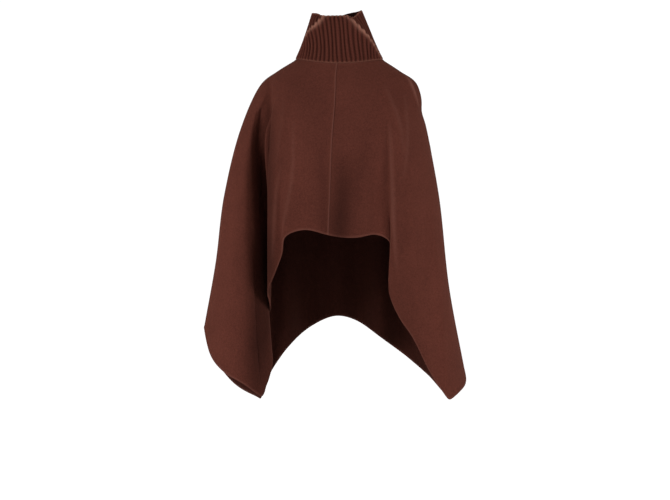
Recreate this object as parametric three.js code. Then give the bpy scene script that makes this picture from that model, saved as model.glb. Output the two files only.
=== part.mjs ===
// Wool poncho with a tall ribbed collar, worn: four pieces of cloth in the form they hang in.
// Millimetres, +Z up, the front faces -Y. The origin is midway between the shoulders, at the
// height of the neck seam, where the garment rests on its wearer.
import * as THREE from 'three';
import { mergeVertices } from 'three/addons/utils/BufferGeometryUtils.js';

// Cloth walls, the gap between pieces at a seam, and how near two corners count as one
const CLOTH_THICKNESS = 2.4;
const SEAM_GAP = 0.34;
const MERGE_DISTANCE = 1e-3;

// Finishes
const WOOL_BROWN = 0x55322a;
const CLOTH_ROUGHNESS = 0.85;
const KNIT_BROWN = 0x54302a;
const KNIT_ROUGHNESS = 0.9;

// Collar knit: how far its plain inside and each point across a rib stand off the middle of the wall
const RIB_COUNT = 56;
const KNIT_INSIDE = 1.2;
const KNIT_PROFILE = [0.5, 2.1, 2.8, 2.1];
const POINTS_PER_RIB = KNIT_PROFILE.length;

// How the neck seam's end faces tilt up from level, shared by the collar and the body
const SEAM_TILT = THREE.MathUtils.degToRad(35);

// Rings that the cloth lies on above the arms, in plan: how far each reaches to the sides, the front
// and the back, and its height at each.
const NECK_RING = {
  left: -101, right: 98, front: -85, back: 78, sideHeight: 12, frontHeight: -5, backHeight: 16,
};
const SLOPE_RING = {
  left: -143, right: 138, front: -95, back: 92, sideHeight: -14, frontHeight: -34, backHeight: -14,
};
const YOKE_RING = {
  left: -179, right: 175, front: -108, back: 108, sideHeight: -42, frontHeight: -85, backHeight: -72,
};
const CHEST_HEIGHT = { side: -142, front: -185, back: -175 };
const WAIST_HEIGHT = -300;

// Drop lines run from the neck seam over the shoulder to the hem, one for each fold, ridge or corner.
// bearing: where the line leaves the neck, in degrees from the centre front towards -X.
// chest, waist: [x, y] at those two levels. hem: [x, y, z] of its end.
// sway: [x, y] by which the line stands off straight, halfway from the waist to the hem.
const FRONT_RIGHT_LINES = [
  { name: 'centre front seam', bearing: 3, chest: [-19, -125], waist: [-23, -125], hem: [-27, -125, -389] },
  { name: 'hem arch', bearing: 17, chest: [-66, -128], waist: [-76, -128], hem: [-80, -127, -377] },
  { name: 'first ridge', bearing: 27, chest: [-104, -123], waist: [-114, -129], hem: [-124, -128, -394] },
  { name: 'trough', bearing: 32, chest: [-122, -113], waist: [-131, -114], hem: [-129, -113, -430] },
  { name: 'second ridge', bearing: 38, chest: [-140, -102], waist: [-145, -109], hem: [-148, -103, -480] },
  { name: 'fold edge', bearing: 46, chest: [-171, -76], waist: [-163, -84], hem: [-163, -74, -516] },
  { name: 'fold back', bearing: 50, chest: [-166, -50], waist: [-153, -42], hem: [-158, -30, -550] },
  { name: 'valley', bearing: 55, chest: [-178, -34], waist: [-168, 2], hem: [-170, 36, -590] },
  { name: 'valley wall', bearing: 60, chest: [-190, -36], waist: [-180, -12], hem: [-159, 4, -648] },
  { name: 'inner corner', bearing: 64, chest: [-197, -42], waist: [-190, -34], hem: [-153, -24, -688] },
  { name: 'right tip', bearing: 69, chest: [-204, -44], waist: [-203, -52], hem: [-176, -64, -753] },
  { name: 'lobe crest', bearing: 75, chest: [-212, -40], waist: [-224, -64], hem: [-218, -82, -722] },
  { name: 'lobe side', bearing: 81, chest: [-220, -30], waist: [-246, -54], hem: [-258, -73, -700] },
  { name: 'cuff curve', bearing: 86, chest: [-225, -16], waist: [-261, -30], hem: [-293, -40, -664] },
];
const OVERARM_RIGHT_LINE = {
  name: 'right overarm seam', bearing: 90, chest: [-225, 0], waist: [-265, 0], hem: [-311, 0, -602],
  sway: [4, 0],
};
const BACK_LINES = [
  { name: 'right back cuff', bearing: 98, chest: [-219, 32], waist: [-255, 44], hem: [-288, 52, -682] },
  { name: 'right back lobe', bearing: 106, chest: [-204, 60], waist: [-234, 78], hem: [-242, 80, -742] },
  { name: 'right back tip', bearing: 114, chest: [-184, 84], waist: [-208, 104], hem: [-192, 84, -772] },
  { name: 'first flute', bearing: 126, chest: [-150, 105], waist: [-168, 128], hem: [-164, 128, -712] },
  { name: 'first hollow', bearing: 138, chest: [-116, 112], waist: [-124, 119], hem: [-126, 110, -656] },
  { name: 'broad flute', bearing: 155, chest: [-66, 119], waist: [-72, 144], hem: [-76, 168, -610] },
  { name: 'middle hollow', bearing: 178, chest: [-4, 116], waist: [-6, 124], hem: [-10, 118, -578] },
  { name: 'narrow flute', bearing: 196, chest: [45, 120], waist: [44, 141], hem: [42, 158, -592] },
  { name: 'last hollow', bearing: 213, chest: [88, 116], waist: [94, 122], hem: [98, 112, -630] },
  { name: 'last flute', bearing: 229, chest: [128, 110], waist: [140, 140], hem: [158, 166, -676] },
  { name: 'tip hollow', bearing: 242, chest: [158, 95], waist: [178, 122], hem: [214, 146, -724] },
  { name: 'left back tip', bearing: 252, chest: [176, 76], waist: [202, 112], hem: [247, 172, -762] },
  { name: 'left back cuff', bearing: 261, chest: [188, 54], waist: [215, 86], hem: [262, 140, -700] },
];
const OVERARM_LEFT_LINE = {
  name: 'left overarm seam', bearing: 269, chest: [195, 28], waist: [223, 54], hem: [261, 94, -628],
};
const FRONT_LEFT_LINES = [
  { name: 'outer corner', bearing: 277, chest: [197, -10], waist: [227, -2], hem: [290, 8, -721],
    sway: [-8, 0] },
  { name: 'cuff edge', bearing: 286, chest: [188, -46], waist: [217, -50], hem: [268, -50, -746] },
  { name: 'left tip', bearing: 294, chest: [177, -70], waist: [202, -78], hem: [244, -84, -761] },
  { name: 'lobe front', bearing: 302, chest: [163, -92], waist: [183, -99], hem: [204, -75, -700] },
  { name: 'lobe edge', bearing: 311, chest: [146, -108], waist: [162, -115], hem: [164, -66, -619],
    sway: [0, -10] },
  { name: 'ridge side', bearing: 320, chest: [128, -118], waist: [141, -122], hem: [136, -62, -578],
    sway: [0, -14] },
  { name: 'ridge', bearing: 326, chest: [114, -125], waist: [120, -130], hem: [111, -66, -518],
    sway: [0, -20] },
  { name: 'ridge back', bearing: 329, chest: [109, -123], waist: [113, -124], hem: [112, -98, -446] },
  { name: 'hem turn', bearing: 332, chest: [103, -121], waist: [105, -117], hem: [110, -112, -402] },
  { name: 'hollow', bearing: 338, chest: [84, -124], waist: [83, -115], hem: [77, -111, -387] },
  { name: 'low ridge', bearing: 347, chest: [50, -127], waist: [49, -128], hem: [45, -127, -394] },
  { name: 'low trough', bearing: 356, chest: [12, -124], waist: [13, -118], hem: [11, -117, -395] },
];

// Collar lines run up the ribs. bearing: where the line leaves the neck seam.
// fold: [x, y, z] where the knit leans back over a crease. top: [x, y, z] on the rim.
const COLLAR_LINES = [
  { name: 'centre front', bearing: 2, fold: [-12, -67, 92], top: [-13, -62, 105] },
  { name: 'right top corner', bearing: 20, fold: [-37, -65, 95], top: [-38, -60, 105] },
  { name: 'right crease', bearing: 36, fold: [-54, -66, 86], top: [-51, -30, 114] },
  { name: 'right crease end', bearing: 54, fold: [-70, -58, 68], top: [-59, -6, 121] },
  { name: 'right ear', bearing: 74, fold: [-84, -28, 50], top: [-63, 16, 123] },
  { name: 'right side', bearing: 96, fold: [-79, 12, 62], top: [-60, 40, 123] },
  { name: 'back right side', bearing: 115, fold: [-75, 38, 66], top: [-53, 56, 122] },
  { name: 'back right', bearing: 134, fold: [-60, 62, 70], top: [-42, 68, 121] },
  { name: 'back right half', bearing: 157, fold: [-34, 77, 72], top: [-26, 77, 120] },
  { name: 'centre back', bearing: 180, fold: [-4, 82, 72], top: [-8, 80, 119] },
  { name: 'back left half', bearing: 203, fold: [26, 77, 72], top: [11, 78, 120] },
  { name: 'back left', bearing: 226, fold: [54, 62, 70], top: [28, 70, 121] },
  { name: 'back left side', bearing: 244, fold: [69, 38, 66], top: [39, 58, 123] },
  { name: 'left side', bearing: 262, fold: [71, 14, 62], top: [45, 42, 125] },
  { name: 'left ear', bearing: 284, fold: [83, -24, 37], top: [48, 16, 129] },
  { name: 'left crease end', bearing: 303, fold: [73, -48, 44], top: [42, -12, 120] },
  { name: 'left crease', bearing: 322, fold: [47, -62, 77], top: [29, -36, 105] },
  { name: 'left top corner', bearing: 343, fold: [14, -66, 94], top: [12, -60, 105] },
];

// The corners of the cut, where the hem turns sharply, and how near each one its helper lines stand,
// as a share of the way to the next line
const CORNERS = ['right tip', 'right back tip', 'left back tip', 'left tip'];
const CORNER_REACH = 0.14;

// The grid of each wall: rows between two stations, more where the cloth bends over the shoulder,
// columns between two drop lines, and rows of the collar
const ROWS_BETWEEN_STATIONS = [1, 2, 2, 4, 2, 3];
const FRONT_COLUMNS = 2;
const BACK_COLUMNS = 3;
const COLLAR_ROWS = 9;

// Small steps for working out directions on a surface
const AROUND_STEP = 1e-4;
const DOWN_STEP = 1e-3;

function ringPoint(ring, bearingDegrees) {
  const bearing = THREE.MathUtils.degToRad(bearingDegrees);
  const side = Math.sin(bearing);
  const front = Math.cos(bearing);
  const middle = (ring.left + ring.right) / 2;
  const halfWidth = (ring.right - ring.left) / 2;
  const depth = front > 0 ? ring.front : ring.back;
  const endHeight = front > 0 ? ring.frontHeight : ring.backHeight;
  return new THREE.Vector3(
    middle - halfWidth * side,
    depth * Math.abs(front),
    ring.sideHeight + (endHeight - ring.sideHeight) * front * front,
  );
}

function chestHeight(bearingDegrees) {
  const front = Math.cos(THREE.MathUtils.degToRad(bearingDegrees));
  const end = front > 0 ? CHEST_HEIGHT.front : CHEST_HEIGHT.back;
  return CHEST_HEIGHT.side + (end - CHEST_HEIGHT.side) * front * front;
}

// The stations of one drop line, from the neck seam to the hem
function lineStations(line) {
  const waist = new THREE.Vector3(line.waist[0], line.waist[1], WAIST_HEIGHT);
  const hem = new THREE.Vector3(...line.hem);
  const [swayX, swayY] = line.sway ?? [0, 0];
  const low = waist.clone().lerp(hem, 0.5).add(new THREE.Vector3(swayX, swayY, 0));
  return [
    ringPoint(NECK_RING, line.bearing),
    ringPoint(SLOPE_RING, line.bearing),
    ringPoint(YOKE_RING, line.bearing),
    new THREE.Vector3(line.chest[0], line.chest[1], chestHeight(line.bearing)),
    waist,
    low,
    hem,
  ];
}

// All the lines in order round the garment. A corner gets a close neighbour on each side, on the
// smooth form except at the hem, which runs straight into the corner. places gives each line's index.
function orderedLines() {
  const backAndSeams = [OVERARM_RIGHT_LINE, ...BACK_LINES, OVERARM_LEFT_LINE];
  const lines = [...FRONT_RIGHT_LINES, ...backAndSeams, ...FRONT_LEFT_LINES];
  const stations = lines.map(lineStations);
  const hem = stations[0].length - 1;
  const rings = stations[0].map((point, station) => (
    new THREE.CatmullRomCurve3(stations.map((points) => points[station]), true, 'centripetal')
  ));
  const besideCorner = (index, side) => rings.map((ring, station) => {
    if (station < hem) return ring.getPoint((index + side * CORNER_REACH) / lines.length);
    const neighbour = stations[(index + side) % lines.length][hem];
    return stations[index][hem].clone().lerp(neighbour, CORNER_REACH);
  });
  const ordered = [];
  const places = new Map();
  lines.forEach((line, index) => {
    if (CORNERS.includes(line.name)) ordered.push(besideCorner(index, -1));
    places.set(line, ordered.length);
    ordered.push(stations[index]);
    if (CORNERS.includes(line.name)) ordered.push(besideCorner(index, 1));
  });
  return { ordered, places };
}

const { ordered: LINES, places: PLACES } = orderedLines();

// A closed surface round the garment, given by lines that run down it
class Surface {
  constructor(lines) {
    this.curves = lines.map((points) => new THREE.CatmullRomCurve3(points, false, 'centripetal'));
    this.levels = new Map();
  }

  level(down) {
    if (!this.levels.has(down)) {
      const points = this.curves.map((curve) => curve.getPoint(down));
      this.levels.set(down, new THREE.CatmullRomCurve3(points, true, 'centripetal'));
    }
    return this.levels.get(down);
  }

  // around runs from 0 to 1 round the garment, from the centre front towards -X
  point(around, down) {
    return this.level(down).getPoint(((around % 1) + 1) % 1);
  }

  alongAround(around, down) {
    return this.point(around + AROUND_STEP, down).sub(this.point(around - AROUND_STEP, down));
  }

  normal(around, down) {
    const upper = Math.max(0, down - DOWN_STEP);
    const lower = Math.min(1, down + DOWN_STEP);
    const alongDown = this.point(around, lower).sub(this.point(around, upper));
    return this.alongAround(around, down).cross(alongDown).normalize();
  }

  // The share of the way round that moves a point by half the seam's gap
  halfGapAround(around, down) {
    return (SEAM_GAP * AROUND_STEP) / this.alongAround(around, down).length();
  }
}

// At the neck seam the end faces of the collar and the body lie along one direction: out and up
function neckDirection(point) {
  const middleX = (NECK_RING.left + NECK_RING.right) / 2;
  const middleY = (NECK_RING.front + NECK_RING.back) / 2;
  const outward = new THREE.Vector3(point.x - middleX, point.y - middleY, 0).normalize();
  return outward.multiplyScalar(Math.cos(SEAM_TILT)).setZ(Math.sin(SEAM_TILT));
}

function offset(point, direction, distance) {
  return point.clone().addScaledVector(direction, distance);
}

// Collects triangles and merges them into one closed geometry
class Shell {
  constructor() {
    this.positions = [];
  }

  triangle(a, b, c) {
    this.positions.push(...a.toArray(), ...b.toArray(), ...c.toArray());
  }

  quad(a, b, c, d) {
    this.triangle(a, b, c);
    this.triangle(a, c, d);
  }

  // A grid of points as [column][row], facing outwards where its columns run round the garment and
  // its rows run down; flipped turns it over.
  sheet(grid, flipped) {
    for (let column = 0; column + 1 < grid.length; column += 1) {
      for (let row = 0; row + 1 < grid[column].length; row += 1) {
        const a = grid[column][row];
        const b = grid[column + 1][row];
        const c = grid[column + 1][row + 1];
        const d = grid[column][row + 1];
        if (flipped) this.quad(a, d, c, b);
        else this.quad(a, b, c, d);
      }
    }
  }

  geometry() {
    const geometry = new THREE.BufferGeometry();
    geometry.setAttribute('position', new THREE.Float32BufferAttribute(this.positions, 3));
    const merged = mergeVertices(geometry, MERGE_DISTANCE);
    merged.computeVertexNormals();
    return merged;
  }
}

function panelLevels() {
  const levels = [0];
  ROWS_BETWEEN_STATIONS.forEach((rows, station) => {
    for (let row = 1; row <= rows; row += 1) {
      levels.push((station + row / rows) / ROWS_BETWEEN_STATIONS.length);
    }
  });
  return levels;
}

// One piece of cloth from one seam's line to the next, with columns between each pair of lines
function clothPanel(surface, fromPlace, toPlace, columnsBetween) {
  const count = (toPlace - fromPlace) * columnsBetween;
  const outer = [];
  const inner = [];
  for (let column = 0; column <= count; column += 1) {
    const around = (fromPlace + column / columnsBetween) / LINES.length;
    const outerColumn = [];
    const innerColumn = [];
    for (const level of panelLevels()) {
      let shifted = around;
      if (column === 0) shifted += surface.halfGapAround(around, level);
      if (column === count) shifted -= surface.halfGapAround(around, level);
      let point = surface.point(shifted, level);
      let direction = surface.normal(shifted, level);
      if (level === 0) {
        const next = surface.point(shifted, DOWN_STEP).sub(point).normalize();
        point = offset(point, next, SEAM_GAP / 2);
        direction = neckDirection(point);
      }
      outerColumn.push(offset(point, direction, CLOTH_THICKNESS / 2));
      innerColumn.push(offset(point, direction, -CLOTH_THICKNESS / 2));
    }
    outer.push(outerColumn);
    inner.push(innerColumn);
  }
  const shell = new Shell();
  shell.sheet(outer, false);
  shell.sheet(inner, true);
  const last = outer[0].length - 1;
  shell.sheet([outer[0], inner[0]], true);
  shell.sheet([outer[count], inner[count]], false);
  shell.sheet(outer.map((points, column) => [inner[column][0], points[0]]), false);
  shell.sheet(outer.map((points, column) => [points[last], inner[column][last]]), false);
  return shell.geometry();
}

function collarStations(line) {
  const top = new THREE.Vector3(...line.top);
  const fold = new THREE.Vector3(...line.fold);
  return [top, fold, ringPoint(NECK_RING, line.bearing)];
}

// The collar tube: ribs of four points each outside, a plain wall inside, rims top and bottom
function ribbedCollar() {
  const surface = new Surface(COLLAR_LINES.map(collarStations));
  const base = surface.level(1);
  const columns = RIB_COUNT * POINTS_PER_RIB;
  const outer = [];
  const inner = [];
  for (let column = 0; column <= columns; column += 1) {
    const around = base.getUtoTmapping((column % columns) / columns);
    const relief = KNIT_PROFILE[column % POINTS_PER_RIB];
    const outerColumn = [];
    const innerColumn = [];
    for (let row = 0; row <= COLLAR_ROWS; row += 1) {
      const level = row / COLLAR_ROWS;
      let point = surface.point(around, level);
      let direction = surface.normal(around, level);
      if (row === COLLAR_ROWS) {
        const up = surface.point(around, 1 - DOWN_STEP).sub(point).normalize();
        point = offset(point, up, SEAM_GAP / 2);
        direction = neckDirection(point);
      }
      outerColumn.push(offset(point, direction, relief));
      innerColumn.push(offset(point, direction, -KNIT_INSIDE));
    }
    outer.push(outerColumn);
    if (column % POINTS_PER_RIB === 0) inner.push(innerColumn);
  }
  const shell = new Shell();
  shell.sheet(outer, false);
  shell.sheet(inner, true);
  for (let rib = 0; rib < RIB_COUNT; rib += 1) {
    closeRib(shell, outer, inner, rib, 0, false);
    closeRib(shell, outer, inner, rib, COLLAR_ROWS, true);
  }
  return shell.geometry();
}

// The end face of one rib, between its outer points and the plain inside
function closeRib(shell, outer, inner, rib, row, flipped) {
  const first = rib * POINTS_PER_RIB;
  const middle = POINTS_PER_RIB / 2;
  const left = inner[rib][row];
  const right = inner[rib + 1][row];
  const face = (a, b, c) => (flipped ? shell.triangle(a, c, b) : shell.triangle(a, b, c));
  for (let step = 0; step < POINTS_PER_RIB; step += 1) {
    const corner = step < middle ? left : right;
    face(corner, outer[first + step + 1][row], outer[first + step][row]);
  }
  face(left, right, outer[first + middle][row]);
}

function piece(name, geometry, color, roughness) {
  const mesh = new THREE.Mesh(geometry, new THREE.MeshStandardMaterial({ color, roughness, metalness: 0 }));
  mesh.name = name;
  return mesh;
}

const cloth = new Surface(LINES);
const frontSeam = PLACES.get(FRONT_RIGHT_LINES[0]);
const rightSeam = PLACES.get(OVERARM_RIGHT_LINE);
const leftSeam = PLACES.get(OVERARM_LEFT_LINE);
const frontRight = clothPanel(cloth, frontSeam, rightSeam, FRONT_COLUMNS);
const frontLeft = clothPanel(cloth, leftSeam, LINES.length, FRONT_COLUMNS);
const back = clothPanel(cloth, rightSeam, leftSeam, BACK_COLUMNS);

const poncho = new THREE.Group();
poncho.add(
  piece('front_right', frontRight, WOOL_BROWN, CLOTH_ROUGHNESS),
  piece('front_left', frontLeft, WOOL_BROWN, CLOTH_ROUGHNESS),
  piece('back', back, WOOL_BROWN, CLOTH_ROUGHNESS),
  piece('rib_collar', ribbedCollar(), KNIT_BROWN, KNIT_ROUGHNESS),
);

export default poncho;
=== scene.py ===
import math

import bpy
import numpy as np
from bpy.props import FloatProperty, FloatVectorProperty, IntProperty, PointerProperty
from bpy.types import Operator, Panel, PropertyGroup
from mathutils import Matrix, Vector


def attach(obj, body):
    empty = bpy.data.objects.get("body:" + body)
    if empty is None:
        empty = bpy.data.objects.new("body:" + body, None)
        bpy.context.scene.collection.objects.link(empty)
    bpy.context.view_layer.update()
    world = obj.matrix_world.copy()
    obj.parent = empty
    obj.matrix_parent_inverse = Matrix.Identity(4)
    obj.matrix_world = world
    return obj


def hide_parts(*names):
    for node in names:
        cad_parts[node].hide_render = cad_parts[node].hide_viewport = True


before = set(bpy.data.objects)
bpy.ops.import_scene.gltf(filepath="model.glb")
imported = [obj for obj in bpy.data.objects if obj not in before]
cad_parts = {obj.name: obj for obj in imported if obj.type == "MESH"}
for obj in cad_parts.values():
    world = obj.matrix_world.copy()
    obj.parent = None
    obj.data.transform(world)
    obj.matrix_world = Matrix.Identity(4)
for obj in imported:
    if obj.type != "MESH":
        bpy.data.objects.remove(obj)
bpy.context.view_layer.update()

bl_info = {
    "name": "Wool Poncho",
    "version": (1, 0, 0),
    "blender": (4, 5, 0),
    "location": "3D View > Sidebar > Poncho",
    "description": "A worn wool poncho with a tall ribbed collar, in four pieces of cloth",
    "category": "Add Mesh",
}

# The tables below are in millimetres, with the front facing -Y and +Z up. The scene is in metres.
MILLIMETRE = 0.001

# Rings that the cloth lies on above the arms, in plan: how far each reaches to the sides, the front
# and the back, and its height at each
NECK_RING = {"left": -101, "right": 98, "front": -85, "back": 78,
             "side_height": 12, "front_height": -5, "back_height": 16}
SLOPE_RING = {"left": -143, "right": 138, "front": -95, "back": 92,
              "side_height": -14, "front_height": -34, "back_height": -14}
YOKE_RING = {"left": -179, "right": 175, "front": -108, "back": 108,
             "side_height": -42, "front_height": -85, "back_height": -72}
CHEST_HEIGHT = {"side": -142, "front": -185, "back": -175}
WAIST_HEIGHT = -300

# Drop lines from the neck seam over the shoulder to the hem: name, bearing from the centre front
# towards -X in degrees, (x, y) at the chest and the waist, and (x, y, z) of the hem
FRONT_RIGHT_LINES = [
    ("centre front seam", 3, (-19, -125), (-23, -125), (-27, -125, -389)),
    ("hem arch", 17, (-66, -128), (-76, -128), (-80, -127, -377)),
    ("first ridge", 27, (-104, -123), (-114, -129), (-124, -128, -394)),
    ("trough", 32, (-122, -113), (-131, -114), (-129, -113, -430)),
    ("second ridge", 38, (-140, -102), (-145, -109), (-148, -103, -480)),
    ("fold edge", 46, (-166, -79), (-163, -84), (-163, -74, -516)),
    ("fold back", 50, (-166, -50), (-153, -42), (-158, -30, -550)),
    ("valley", 55, (-178, -34), (-168, 2), (-170, 36, -590)),
    ("valley wall", 60, (-186, -34), (-179, -10), (-159, 4, -648)),
    ("inner corner", 64, (-192, -44), (-188, -32), (-153, -24, -688)),
    ("right tip", 69, (-199, -50), (-201, -62), (-176, -64, -756)),
    ("lobe crest", 75, (-208, -45), (-216, -71), (-218, -82, -722)),
    ("lobe side", 81, (-220, -30), (-246, -54), (-258, -73, -700)),
    ("cuff curve", 86, (-225, -16), (-261, -30), (-293, -40, -664)),
]
BACK_LINES = [
    ("right overarm seam", 90, (-225, 0), (-265, 0), (-311, 0, -602)),
    ("right back cuff", 98, (-219, 32), (-255, 44), (-288, 52, -682)),
    ("right back lobe", 106, (-204, 60), (-234, 78), (-242, 80, -742)),
    ("right back tip", 114, (-184, 84), (-208, 104), (-187, 84, -772)),
    ("first flute", 126, (-150, 105), (-168, 128), (-164, 128, -712)),
    ("first hollow", 138, (-116, 112), (-124, 119), (-126, 110, -656)),
    ("broad flute", 155, (-66, 119), (-72, 144), (-76, 168, -610)),
    ("middle hollow", 178, (-4, 116), (-6, 124), (-10, 118, -578)),
    ("narrow flute", 196, (45, 120), (44, 141), (42, 158, -592)),
    ("last hollow", 213, (88, 116), (94, 122), (98, 112, -630)),
    ("last flute", 229, (128, 110), (140, 140), (158, 166, -676)),
    ("tip hollow", 242, (158, 95), (178, 122), (214, 146, -724)),
    ("left back tip", 252, (176, 76), (202, 112), (247, 172, -762)),
    ("left back cuff", 261, (188, 54), (215, 86), (262, 140, -700)),
]
FRONT_LEFT_LINES = [
    ("left overarm seam", 269, (195, 28), (223, 54), (261, 94, -628)),
    ("outer corner", 277, (197, -10), (227, -2), (290, 8, -721)),
    ("cuff edge", 286, (188, -46), (217, -50), (268, -50, -746)),
    ("left tip", 294, (177, -70), (202, -78), (244, -84, -761)),
    ("lobe front", 302, (163, -92), (183, -99), (204, -75, -700)),
    ("lobe edge", 311, (146, -108), (162, -115), (164, -66, -619)),
    ("ridge side", 320, (128, -118), (141, -122), (136, -62, -578)),
    ("ridge", 326, (114, -125), (120, -130), (111, -66, -518)),
    ("ridge back", 329, (109, -123), (113, -124), (112, -98, -446)),
    ("hem turn", 332, (103, -121), (105, -117), (110, -112, -402)),
    ("hollow", 338, (84, -124), (83, -118), (77, -114, -387)),
    ("low ridge", 347, (50, -127), (49, -128), (45, -127, -394)),
    ("low trough", 356, (12, -124), (13, -118), (11, -117, -395)),
]
# How far a line stands off straight, in (x, y), halfway from the waist to the hem
STAND_OFF = {"right overarm seam": (4, 0), "outer corner": (-8, 0), "lobe edge": (0, -10),
             "ridge side": (0, -14), "ridge": (0, -20)}
# Corners of the hem, which have a close neighbour at this share of the way to the next line
CORNERS = ("right tip", "right back tip", "left back tip", "left tip")
CORNER_REACH = 0.14
# How sharp a corner stays when the cloth is eased. The left tip is blunt.
SHARP_CORNERS = {"right tip": 0.3, "right back tip": 1.0, "left back tip": 1.0}

# Collar lines up the ribs: bearing, (x, y, z) where the knit leans back over a crease, and of the rim
COLLAR_LINES = [
    (2, (-12, -67, 92), (-13, -62, 105)),
    (20, (-37, -65, 95), (-38, -60, 105)),
    (36, (-54, -66, 86), (-50, -44, 112)),
    (54, (-70, -58, 68), (-60, -20, 117)),
    (74, (-80, -28, 58), (-62, 10, 121)),
    (96, (-75, 12, 70), (-60, 40, 123)),
    (115, (-75, 38, 66), (-53, 56, 122)),
    (134, (-60, 62, 70), (-42, 68, 121)),
    (157, (-34, 77, 72), (-26, 77, 120)),
    (180, (-4, 82, 72), (-8, 80, 122)),
    (203, (26, 77, 72), (12, 78, 129)),
    (226, (54, 62, 70), (28, 70, 132)),
    (244, (69, 38, 66), (38, 58, 132)),
    (262, (71, 14, 62), (45, 40, 131)),
    (284, (83, -24, 37), (48, 16, 129)),
    (303, (73, -48, 44), (42, -12, 120)),
    (322, (47, -62, 77), (29, -36, 105)),
    (343, (14, -66, 94), (12, -60, 105)),
]

# Folds pressed into the cloth: name, the side it is seen from, its path as (across, height),
# how far it stands out (or in, below 0), how wide it is on its low and its high side across, and how
# much paler it is painted along it, a painted highlight. Across is x on the front and back, y on the
# two sides.
FOLDS = [
    ("first ridge", "front", [(-103, -130), (-106, -256), (-121, -345), (-128, -388)], 1.6, 8, 6, 0.38),
    ("second ridge", "front", [(-131, -225), (-142, -300), (-147, -375), (-151, -450)], 1.4, 6, 8, 0.27),
    ("right ridge", "front", [(109, -140), (113, -205), (117, -305), (119, -385), (127, -470)],
     2.0, 5, 8, 0.56),
    ("right upper ridge", "front", [(143, -70), (147, -130), (146, -205), (140, -270)], 3.6, 12, 10, 0.3),
    ("right diagonal", "front", [(98, -50), (112, -84), (125, -118), (134, -155), (140, -215)],
     2.8, 8, 9, 0.28),
    ("seam hollow", "front", [(8, -235), (3, -310), (-3, -360), (-8, -470)], -3.4, 19, 32, 0.0),
    ("seam sag", "front", [(-40, -210), (-36, -310), (-32, -400)], -3.0, 20, 20, 0.0),
    ("shoulder fold", "left", [(-21, -18), (-35, -33), (-43, -48), (-48, -66), (-49, -86), (-47, -104)],
     3.0, 5, 6, 1.0),
    ("shoulder dip", "left", [(-52, -104), (0, -106), (64, -102)], -4.5, 20, 20, 0.0),
    ("low swell", "front", [(58, -240), (60, -300), (64, -355), (66, -392)], 3.0, 13, 13, 0.0),
    ("left upper swell", "front", [(-124, -75), (-128, -125), (-134, -180), (-144, -250)],
     3.4, 12, 9, 0.12),
    ("valley head", "front",
     [(-158, -30), (-162, -95), (-167, -180), (-171, -240), (-173, -290), (-170, -350)],
     -13.0, 8, 7, 0.0),
    ("tip tuck", "front", [(-184, -628), (-172, -676), (-163, -728)], 2.0, 5, 7, 0.0),
    ("lobe pleat", "front", [(-226, -230), (-238, -400), (-252, -600)], 1.6, 12, 9, 0.0),
    ("right lobe pleat", "front", [(150, -240), (166, -400), (188, -590)], 1.6, 9, 13, 0.0),
    ("right lobe outer pleat", "front", [(196, -300), (222, -500), (238, -700)], 1.4, 10, 10, 0.0),
    ("back first pleat", "back", [(-60, -85), (-72, -240), (-82, -430)], 2.2, 14, 10, 0.0),
    ("back middle pleat", "back", [(22, -120), (30, -300), (34, -500)], 1.7, 8, 12, 0.0),
    ("back last pleat", "back", [(98, -95), (118, -250), (128, -400)], 2.2, 12, 9, 0.0),
    ("back hollow", "back", [(-22, -150), (-26, -330), (-30, -470)], -2.4, 16, 14, 0.0),
    ("back right diagonal", "back", [(-140, -70), (-172, -160), (-194, -300)], 2.6, 12, 9, 0.0),
    ("back left diagonal", "back", [(136, -72), (166, -170), (186, -320)], 2.6, 9, 12, 0.0),
    ("right side pleat", "right", [(-34, -180), (-38, -380), (-34, -590)], 1.8, 10, 8, 0.0),
    ("right side hollow", "right", [(24, -160), (30, -330), (36, -520)], -2.2, 12, 14, 0.0),
    ("left side pleat", "left", [(54, -170), (72, -360), (92, -560)], 1.8, 8, 11, 0.0),
    ("left side hollow", "left", [(-10, -190), (-16, -380), (-20, -600)], -2.0, 13, 12, 0.0),
]
# Where the cloth turns away between two drop lines: name, the lines, the levels at which it begins and
# ends, and how far it is pushed in at the middle
TURNS = [("lobe turn", "valley wall", "lobe crest", -400, -740, -14.0)]

# Patches of painted shade on the cloth (or of painted light, below 0): name, side, path, how much,
# and its widths
PAINTED_SHADE_PATCHES = [
    ("lobe's turned side", "front", [(-184, -370), (-180, -470), (-178, -560), (-184, -640), (-182, -790)],
     1.1, 28, 40),
    ("beside the valley", "front", [(-156, -90), (-162, -210), (-162, -300), (-160, -390), (-157, -500)],
     0.8, 9, 18),
    ("seam trough", "front", [(8, -200), (2, -300), (-3, -360), (-3, -500)], 0.62, 24, 32),
    ("trough by the hem", "front", [(16, -325), (12, -370), (8, -460)], 0.1, 26, 40),
    ("streak by the trough", "front", [(58, -150), (50, -230), (38, -330)], 0.2, 14, 14),
    ("streak left of the seam", "front", [(-44, -170), (-38, -300), (-36, -480)], 0.3, 13, 14),
    ("chest", "front", [(-92, -20), (-72, -80), (-44, -150)], 0.16, 44, 44),
    ("left swell", "front", [(-106, -90), (-98, -200), (-94, -300)], -0.16, 18, 26),
    ("left lobe", "front", [(-236, -120), (-248, -330), (-262, -500), (-244, -860)], -0.25, 44, 24),
    ("right upper nap", "front", [(116, -100), (122, -160), (122, -250)], -0.22, 14, 18),
    ("nap by the hollow", "front", [(90, -200), (90, -290), (86, -470)], -0.26, 11, 12),
    ("right lobe", "front", [(178, -100), (196, -380), (214, -560), (232, -900)], -0.24, 40, 46),
]
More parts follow.
